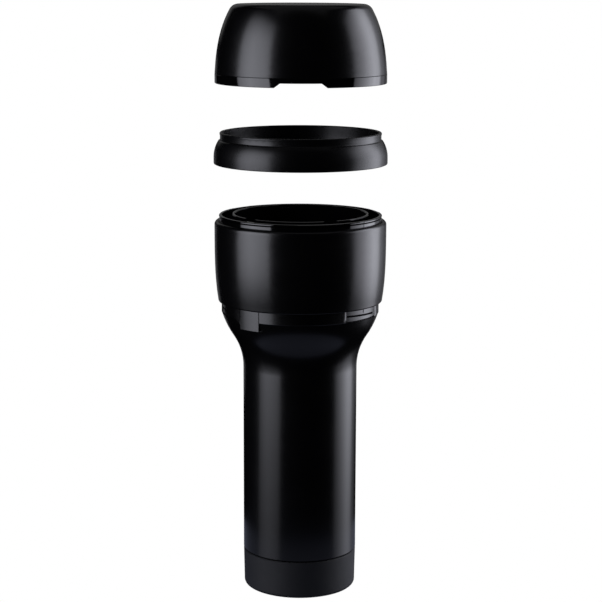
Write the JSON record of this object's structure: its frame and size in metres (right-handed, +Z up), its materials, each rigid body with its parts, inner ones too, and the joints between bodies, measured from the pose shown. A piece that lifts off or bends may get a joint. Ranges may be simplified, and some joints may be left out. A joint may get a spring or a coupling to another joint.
{
  "type": "flared cylindrical case",
  "caption": "Slim black case with a wide head, a round handle, a lift-off domed cap, a twist-lock ring and a screw-off tail cap, shown taken apart along its axis.",
  "frame": {"origin": "centre of the flat foot under the tail cap", "axes": "+Z up along the case's own axis, from the tail cap to the cap; -Y is the front, where the cap rim's notch is; the latch tab is to the front's left (-X)"},
  "size_m": [0.0882, 0.0882, 0.3014],
  "materials": {
    "satin_black": "satin",
    "gloss_black": "gloss",
    "semi_gloss_black": "satin",
    "tail_matte": "matte",
    "seal_rubber": "matte",
    "screw_steel": "satin"
  },
  "bodies": {
    "case": {"head_shell": "satin_black", "neck_barrel": "gloss_black", "barrel_seal": "seal_rubber", "barrel_screws": "screw_steel", "liner_ring": "gloss_black", "dock_collar": "semi_gloss_black", "latch_tab": "semi_gloss_black", "grip_tube": "satin_black"},
    "ring_seal": {"ring_gasket": "seal_rubber"},
    "ring": {"locking_ring": "satin_black"},
    "cap": {"cap_shell": "satin_black", "cap_rim": "gloss_black", "cap_wiper": "seal_rubber"},
    "tail_seal_body": {"tail_seal": "seal_rubber"},
    "tail": {"tail_cap": "tail_matte"}
  },
  "joints": [
    {"name": "ring_lift", "type": "slide", "parent": "case", "child": "ring_seal", "axis": [0, 0, 1], "range_m": [-0.0288, 0]},
    {"name": "ring_twist", "type": "hinge", "parent": "ring_seal", "child": "ring", "pos_m": [0, 0, 0.2215], "axis": [0, 0, 1], "range_deg": [-30, 0]},
    {"name": "cap_lift", "type": "slide", "parent": "ring", "child": "cap", "axis": [0, 0, 1], "range_m": [-0.031, 0]},
    {"name": "tail_drop", "type": "slide", "parent": "case", "child": "tail_seal_body", "axis": [0, 0, 1], "range_m": [-0.00201, 0]},
    {"name": "tail_turn", "type": "hinge", "parent": "tail_seal_body", "child": "tail", "pos_m": [0, 0, 0.0112], "axis": [0, 0, 1], "range_deg": [-60, 0]}
  ],
  "couplings": [
    {"joint": "tail_drop", "follows": "tail_turn", "m_per_rad": 0.0019099}
  ]
}
